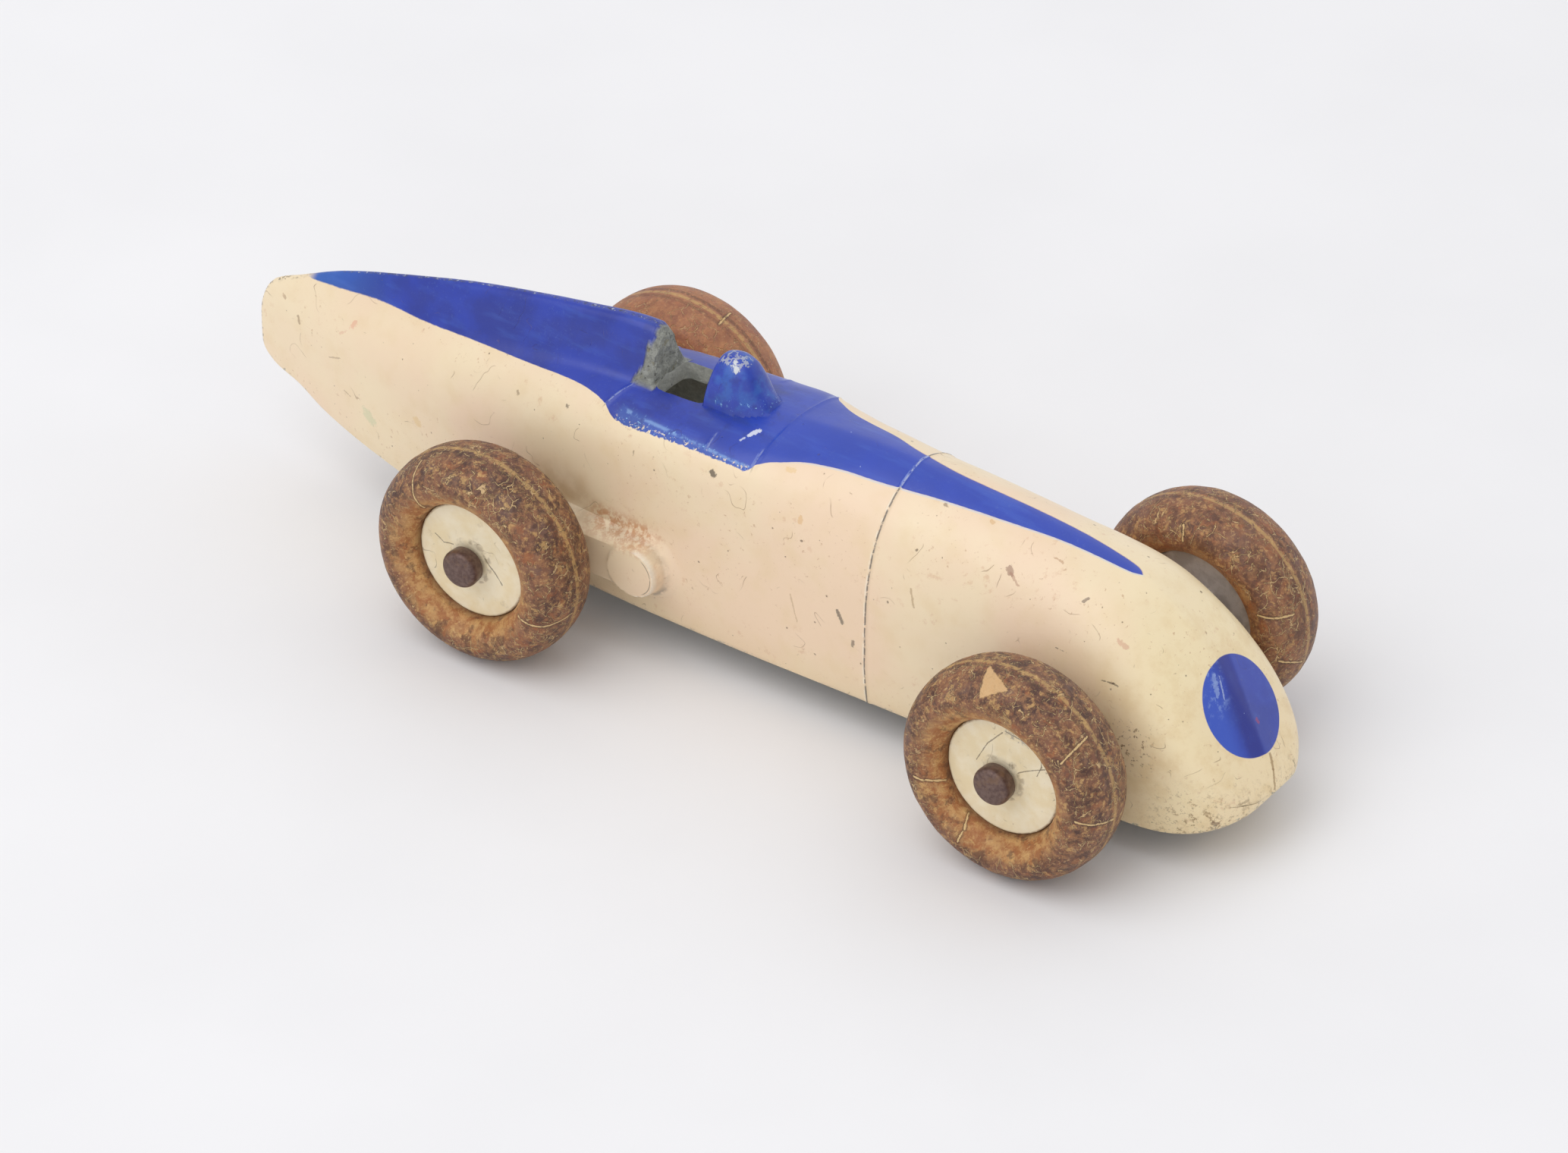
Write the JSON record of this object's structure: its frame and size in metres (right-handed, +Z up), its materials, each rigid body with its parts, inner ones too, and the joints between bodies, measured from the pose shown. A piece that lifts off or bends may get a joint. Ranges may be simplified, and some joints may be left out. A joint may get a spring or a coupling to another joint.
{
  "type": "toy racing car",
  "caption": "Old die-cast toy racing car: hollow streamlined body with pointed tail, open cockpit, headrest fairing, and rubber-tyred cast wheels turning on wire axles.",
  "frame": {"origin": "on the ground, under the middle of the car's overall length, on its middle plane", "axes": "+X to the nose, +Y to the car's left side, +Z up"},
  "size_m": [0.094, 0.0332, 0.0249],
  "materials": {
    "body_enamel": "semi-gloss enamel, chipped and grimy",
    "hub_enamel": "semi-gloss enamel, scratched",
    "tyre_rubber": "perished, cracked, dull",
    "axle_steel": "tarnished"
  },
  "bodies": {
    "casting": {"body_casting": "body_enamel"},
    "front_axle_wire": {"front_axle": "axle_steel"},
    "rear_axle_wire": {"rear_axle": "axle_steel"},
    "front_right_wheel": {"front_right_hub": "hub_enamel", "front_right_tyre": "tyre_rubber"},
    "front_left_wheel": {"front_left_hub": "hub_enamel", "front_left_tyre": "tyre_rubber"},
    "rear_right_wheel": {"rear_right_hub": "hub_enamel", "rear_right_tyre": "tyre_rubber"},
    "rear_left_wheel": {"rear_left_hub": "hub_enamel", "rear_left_tyre": "tyre_rubber"}
  },
  "joints": [
    {"name": "front_axle_turn", "type": "hinge", "parent": "casting", "child": "front_axle_wire", "pos_m": [0.0322, 0, 0.0088], "axis": [0, 1, 0], "continuous": true},
    {"name": "rear_axle_turn", "type": "hinge", "parent": "casting", "child": "rear_axle_wire", "pos_m": [-0.0158, 0, 0.0088], "axis": [0, 1, 0], "continuous": true},
    {"name": "front_right_wheel_turn", "type": "hinge", "parent": "front_axle_wire", "child": "front_right_wheel", "pos_m": [0.0322, -0.0131, 0.0088], "axis": [0, 1, 0], "continuous": true},
    {"name": "front_left_wheel_turn", "type": "hinge", "parent": "front_axle_wire", "child": "front_left_wheel", "pos_m": [0.0322, 0.0131, 0.0088], "axis": [0, 1, 0], "continuous": true},
    {"name": "rear_right_wheel_turn", "type": "hinge", "parent": "rear_axle_wire", "child": "rear_right_wheel", "pos_m": [-0.0158, -0.0131, 0.0088], "axis": [0, 1, 0], "continuous": true},
    {"name": "rear_left_wheel_turn", "type": "hinge", "parent": "rear_axle_wire", "child": "rear_left_wheel", "pos_m": [-0.0158, 0.0131, 0.0088], "axis": [0, 1, 0], "continuous": true}
  ]
}
